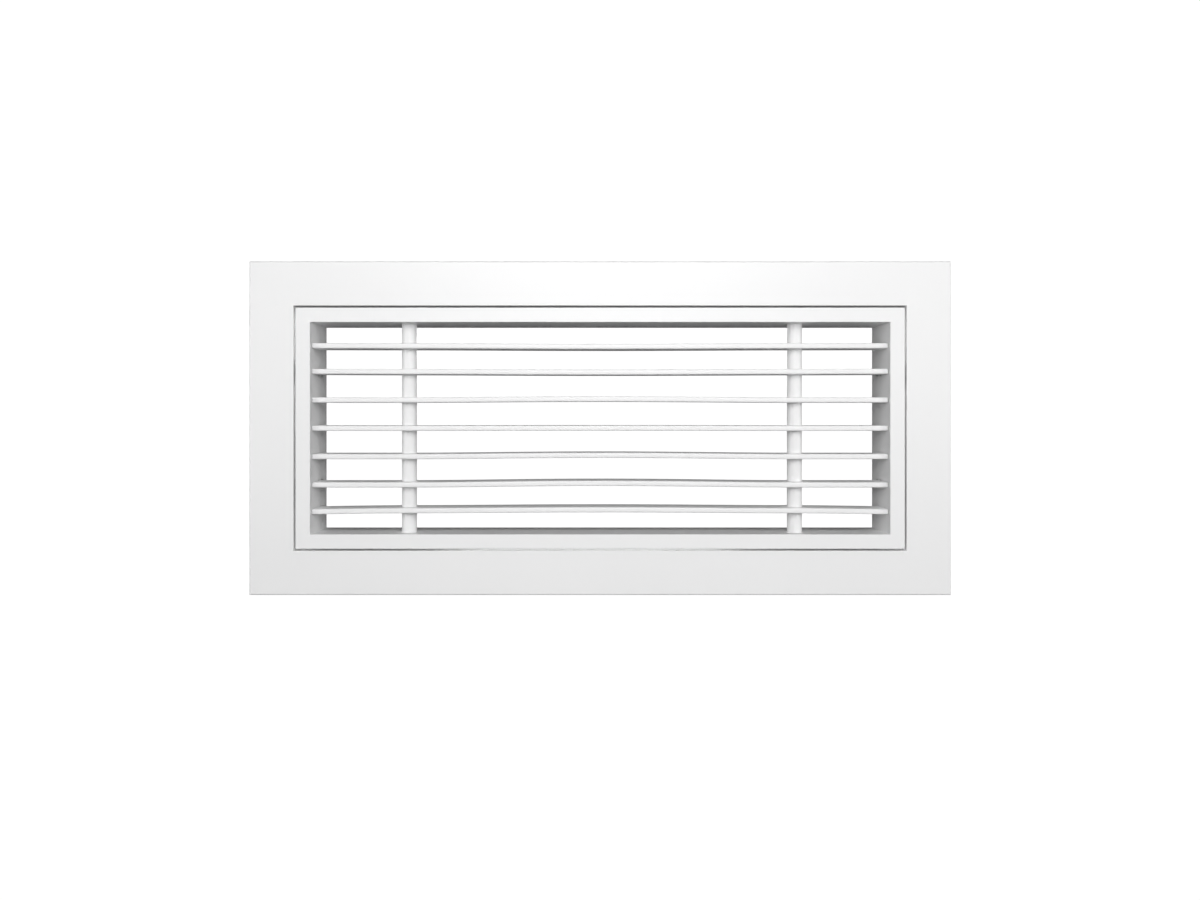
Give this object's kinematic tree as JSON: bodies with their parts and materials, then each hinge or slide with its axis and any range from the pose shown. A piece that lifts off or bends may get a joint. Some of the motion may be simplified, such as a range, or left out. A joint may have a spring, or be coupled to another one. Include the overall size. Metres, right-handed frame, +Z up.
{
  "type": "louvred air grille",
  "caption": "Rectangular wall or sill air grille: a flanged outer frame round a pull-out core of straight horizontal blades on upright spacer-tube columns.",
  "frame": {"origin": "centre of the wall opening, in the plane of the wall's surface that the flange rests on", "axes": "+X to the right seen from the room, +Y into the wall, +Z up"},
  "size_m": [0.4212, 0.05, 0.2004],
  "materials": {
    "white_powder_coat": "satin white powder coat",
    "mill_aluminium": "mill",
    "zinc_plated_steel": "bright zinc",
    "spring_steel": "tempered strip"
  },
  "bodies": {
    "frame": {"frame_top": "white_powder_coat", "frame_right": "white_powder_coat", "frame_bottom": "white_powder_coat", "frame_left": "white_powder_coat", "frame_key_top_right": "mill_aluminium", "frame_key_top_left": "mill_aluminium", "frame_key_bottom_right": "mill_aluminium", "frame_key_bottom_left": "mill_aluminium"},
    "core": {"core_top": "white_powder_coat", "core_right": "white_powder_coat", "core_bottom": "white_powder_coat", "core_left": "white_powder_coat", "core_key_top_right": "mill_aluminium", "core_key_top_left": "mill_aluminium", "core_key_bottom_right": "mill_aluminium", "core_key_bottom_left": "mill_aluminium", "blade_1": "white_powder_coat", "blade_2": "white_powder_coat", "blade_3": "white_powder_coat", "blade_4": "white_powder_coat", "blade_5": "white_powder_coat", "blade_6": "white_powder_coat", "blade_7": "white_powder_coat", "tube_left_1": "white_powder_coat", "tube_left_2": "white_powder_coat", "tube_left_3": "white_powder_coat", "tube_left_4": "white_powder_coat", "tube_left_5": "white_powder_coat", "tube_left_6": "white_powder_coat", "tube_left_7": "white_powder_coat", "tube_left_8": "white_powder_coat", "tube_right_1": "white_powder_coat", "tube_right_2": "white_powder_coat", "tube_right_3": "white_powder_coat", "tube_right_4": "white_powder_coat", "tube_right_5": "white_powder_coat", "tube_right_6": "white_powder_coat", "tube_right_7": "white_powder_coat", "tube_right_8": "white_powder_coat", "rod_left": "zinc_plated_steel", "rod_right": "zinc_plated_steel", "washers": "zinc_plated_steel", "nuts": "zinc_plated_steel", "clip_base_left_lower": "spring_steel", "clip_base_left_upper": "spring_steel", "clip_base_right_lower": "spring_steel", "clip_base_right_upper": "spring_steel", "clip_rivets": "zinc_plated_steel"},
    "clip_spring_left_lower": {"clip_spring_left_lower": "spring_steel"},
    "clip_spring_left_upper": {"clip_spring_left_upper": "spring_steel"},
    "clip_spring_right_lower": {"clip_spring_right_lower": "spring_steel"},
    "clip_spring_right_upper": {"clip_spring_right_upper": "spring_steel"}
  },
  "joints": [
    {"name": "core_pull", "type": "slide", "parent": "frame", "child": "core", "axis": [0, -1, 0], "range_m": [0, 0.05]},
    {"name": "clip_bend_left_lower", "type": "hinge", "parent": "core", "child": "clip_spring_left_lower", "pos_m": [-0.1766, 0.0275, -0.0344], "axis": [0, 0, 1], "range_deg": [0, 10], "stiffness_Nm_per_rad": 4.4},
    {"name": "clip_bend_left_upper", "type": "hinge", "parent": "core", "child": "clip_spring_left_upper", "pos_m": [-0.1766, 0.0275, 0.0344], "axis": [0, 0, 1], "range_deg": [0, 10], "stiffness_Nm_per_rad": 4.4},
    {"name": "clip_bend_right_lower", "type": "hinge", "parent": "core", "child": "clip_spring_right_lower", "pos_m": [0.1766, 0.0275, -0.0344], "axis": [0, 0, -1], "range_deg": [0, 10], "stiffness_Nm_per_rad": 4.4},
    {"name": "clip_bend_right_upper", "type": "hinge", "parent": "core", "child": "clip_spring_right_upper", "pos_m": [0.1766, 0.0275, 0.0344], "axis": [0, 0, -1], "range_deg": [0, 10], "stiffness_Nm_per_rad": 4.4}
  ]
}
